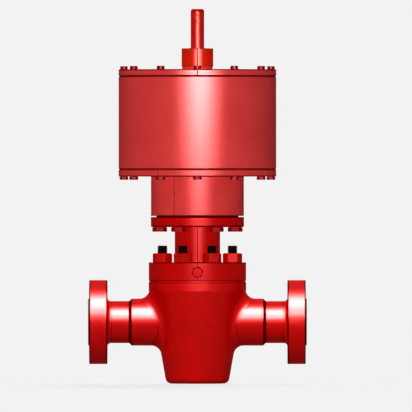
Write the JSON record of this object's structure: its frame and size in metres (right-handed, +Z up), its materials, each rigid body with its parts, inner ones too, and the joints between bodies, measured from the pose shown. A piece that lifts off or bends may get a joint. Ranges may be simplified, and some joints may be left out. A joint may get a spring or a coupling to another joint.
{
  "type": "surface safety valve",
  "caption": "Upright flanged slab gate valve with a round pneumatic spring-return cylinder on its bonnet and an indicator rod on top.",
  "frame": {"origin": "centre of the flat bottom of the valve body, under the stem line", "axes": "+Z up the stem, +X along the flow line out of the outlet, -Y towards the bonnet vent plug"},
  "size_m": [0.5206, 0.3756, 0.8928],
  "materials": {
    "valve_red": "glossy red enamel",
    "nut_red": "glossy red enamel over bolting",
    "cylinder_red": "satin rose-red enamel",
    "bolt_crimson": "dark crimson enamel",
    "stud_black": "black oxide steel",
    "gland_orange": "glossy orange enamel",
    "rod_red": "glossy red enamel",
    "machined_steel": "machined steel",
    "spring_steel": "black enamel",
    "seal_rubber": "matt rubber",
    "packing_polymer": "filled fluoropolymer"
  },
  "bodies": {
    "housing": {"valve_body": "valve_red", "inlet_flange": "valve_red", "outlet_flange": "valve_red", "seat_ring_inlet": "machined_steel", "seat_ring_outlet": "machined_steel", "seat_seal_inlet": "packing_polymer", "seat_seal_outlet": "packing_polymer", "gate_guide_front": "machined_steel", "gate_guide_rear": "machined_steel", "bonnet": "valve_red", "bonnet_ring_gasket": "machined_steel", "bonnet_studs": "stud_black", "bonnet_nuts": "nut_red", "bonnet_vent_plug": "valve_red", "packing_bottom_ring": "packing_polymer", "stem_packing_rings": "packing_polymer", "packing_top_ring": "packing_polymer", "packing_gland": "machined_steel", "adapter_plate": "valve_red", "adapter_screws": "nut_red", "spring_housing": "cylinder_red", "lower_spring_seat": "machined_steel", "travel_stop_sleeve": "machined_steel", "main_spring": "spring_steel", "cylinder_bottom_plate": "cylinder_red", "bottom_plate_bolts": "bolt_crimson", "cylinder_barrel": "cylinder_red", "top_cover": "cylinder_red", "cover_bolts": "bolt_crimson", "cover_o_ring": "seal_rubber", "rod_gland": "gland_orange", "rod_seals": "seal_rubber", "rod_wiper": "seal_rubber"},
    "stem_train": {"indicator_rod": "rod_red", "piston": "machined_steel", "piston_seal": "seal_rubber", "piston_wear_ring": "packing_polymer", "piston_lock_nut": "machined_steel", "spring_upper_seat": "machined_steel", "stem_coupling": "machined_steel", "valve_stem": "machined_steel", "gate": "machined_steel"}
  },
  "joints": [
    {"name": "stem_travel", "type": "slide", "parent": "housing", "child": "stem_train", "axis": [0, 0, -1], "range_m": [0, 0.06], "stiffness_N_per_m": 40000, "springref_m": -0.06, "deforming": ["main_spring"]}
  ]
}
